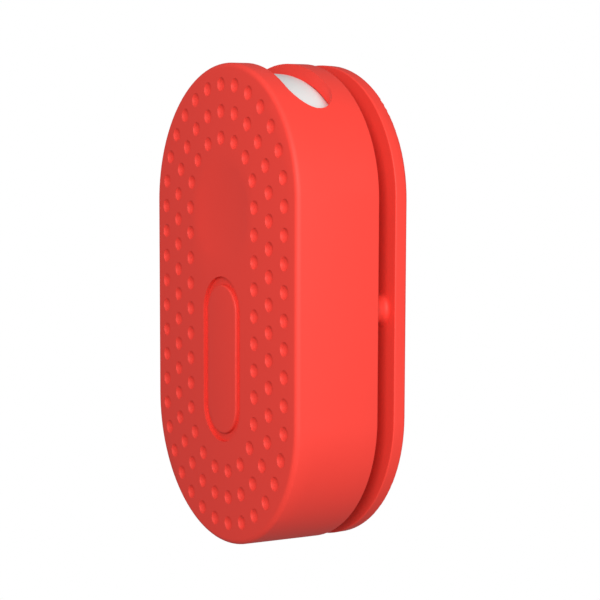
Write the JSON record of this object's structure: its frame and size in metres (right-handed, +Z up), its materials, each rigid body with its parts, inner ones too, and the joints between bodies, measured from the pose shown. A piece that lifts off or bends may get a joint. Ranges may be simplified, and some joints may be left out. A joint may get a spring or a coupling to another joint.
{
  "type": "tracker_tag_in_strap_holder",
  "caption": "Tracker tag with a coin cell, push button and key-ring hole, in a dimpled silicone holder whose back plate and posts clip it onto a collar or strap",
  "frame": {"origin": "middle of the strap gap between the sleeve and the back plate", "axes": "+Z up along the tag towards its key-ring hole, front face towards -Y, +X to the right seen from the front"},
  "size_m": [0.0314, 0.0141, 0.055],
  "materials": {
    "silicone": "satin",
    "case": "satin",
    "seal": "matte",
    "membrane": "matte",
    "steel": "brushed",
    "switch_plastic": "matte",
    "board": "satin",
    "tin": "satin",
    "chip": "matte",
    "ceramic": "matte",
    "copper": "satin",
    "cell_steel": "satin",
    "gold": "satin",
    "brass": "satin"
  },
  "bodies": {
    "sleeve": {"silicone_sleeve": "silicone", "back_plate": "silicone", "strap_posts": "silicone", "pad_web": "silicone"},
    "pad": {"press_pad": "silicone"},
    "tag": {"front_shell": "case", "rear_lid": "case", "lid_seal": "seal", "vent_membrane": "membrane", "loop_liner": "steel", "button_seal": "seal", "switch_body": "switch_plastic", "switch_dome": "steel", "circuit_board": "board", "shield_can": "tin", "radio_chip": "chip", "ranging_chip": "chip", "crystal": "tin", "chip_antenna": "ceramic", "patch_antenna": "ceramic", "motion_chip": "chip", "capacitors": "ceramic", "loop_coil": "copper", "board_screws": "steel", "cell_can": "cell_steel", "cell_gasket": "seal", "cell_cap": "cell_steel", "battery_tray": "case", "tray_latch": "steel", "positive_contact": "gold", "negative_contact": "gold", "sounder_plate": "brass", "sounder_ceramic": "ceramic", "sounder_pins": "gold"},
    "button": {"button_cap": "case", "switch_plunger": "switch_plastic"}
  },
  "joints": [
    {"name": "pad_press", "type": "slide", "parent": "sleeve", "child": "pad", "axis": [0, 1, 0], "range_m": [0, 0.00035], "stiffness_N_per_m": 1500, "deforming": ["pad_web"]},
    {"name": "tag_slide", "type": "slide", "parent": "sleeve", "child": "tag", "axis": [0, 0, 1], "range_m": [0, 0.056], "deforming": ["silicone_sleeve"]},
    {"name": "button_press", "type": "slide", "parent": "tag", "child": "button", "axis": [0, 1, 0], "range_m": [0, 0.00035], "deforming": ["switch_dome"]}
  ],
  "couplings": [
    {"joint": "button_press", "follows": "pad_press", "ratio": 1}
  ]
}
